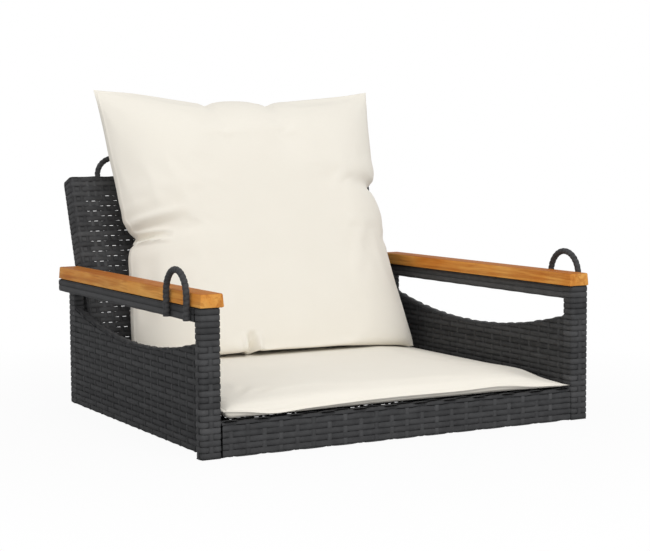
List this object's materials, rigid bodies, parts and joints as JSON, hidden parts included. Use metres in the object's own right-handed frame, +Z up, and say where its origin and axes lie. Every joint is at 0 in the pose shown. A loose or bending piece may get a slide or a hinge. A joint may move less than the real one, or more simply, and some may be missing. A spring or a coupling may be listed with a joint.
{
  "type": "swing bench",
  "caption": "Hanging bench with woven resin arms, seat and leaning back on a tube frame, wooden armrests, hanging loops on arms and back, and loose seat and back cushions.",
  "frame": {"origin": "centre of the bench's footprint, on the floor under it", "axes": "+X across the bench to the viewer's right seen from the front, +Y from front to back, +Z up"},
  "size_m": [0.63, 0.615, 0.483],
  "materials": {
    "weave": "satin, finely ribbed",
    "loop_wrap": "satin, wound",
    "tube": "powder coated",
    "rod": "powder coated",
    "wood": "oiled",
    "cap": "moulded",
    "zinc": "zinc plated",
    "fabric": "plain woven cloth, matt"
  },
  "bodies": {
    "frame": {"left_front_post_tube": "tube", "left_rear_post_tube": "tube", "left_arm_rail_tube": "tube", "left_lower_rail_tube": "tube", "left_edge_rod": "tube", "left_front_post_wrap": "weave", "left_rear_post_wrap": "weave", "left_arm_rail_wrap": "weave", "left_side_weave": "weave", "left_armrest": "wood", "left_front_loop": "rod", "left_front_loop_wrap": "loop_wrap", "right_front_post_tube": "tube", "right_rear_post_tube": "tube", "right_arm_rail_tube": "tube", "right_lower_rail_tube": "tube", "right_edge_rod": "tube", "right_front_post_wrap": "weave", "right_rear_post_wrap": "weave", "right_arm_rail_wrap": "weave", "right_side_weave": "weave", "right_armrest": "wood", "right_front_loop": "rod", "right_front_loop_wrap": "loop_wrap", "foot_caps": "cap", "seat_front_rail": "tube", "seat_rear_rail": "tube", "seat_left_rail": "tube", "seat_right_rail": "tube", "seat_cross_bars": "tube", "front_apron_weave": "weave", "rear_apron_weave": "weave", "seat_left_wrap": "weave", "seat_right_wrap": "weave", "seat_weave": "weave", "back_left_upright": "tube", "back_right_upright": "tube", "back_top_rail": "tube", "back_bottom_rail": "tube", "back_centre_bar": "tube", "back_left_wrap": "weave", "back_right_wrap": "weave", "back_top_wrap": "weave", "back_bottom_wrap": "weave", "back_weave": "weave", "back_left_loop": "rod", "back_right_loop": "rod", "back_left_loop_wrap": "loop_wrap", "back_right_loop_wrap": "loop_wrap", "armrest_screws": "zinc", "seat_bolts": "zinc", "back_bolts": "zinc", "back_foot_bolts": "zinc", "rivet_nuts": "zinc", "back_spacers": "cap"},
    "seat_cushion": {"seat_cushion": "fabric"},
    "back_cushion": {"back_cushion": "fabric"}
  },
  "joints": [
    {"name": "seat_cushion_slide", "type": "slide", "parent": "frame", "child": "seat_cushion", "axis": [0, -1, 0], "range_m": [0, 0.55]},
    {"name": "back_cushion_lift", "type": "slide", "parent": "frame", "child": "back_cushion", "axis": [0, 0.3322, 0.9432], "range_m": [0, 0.45]}
  ]
}
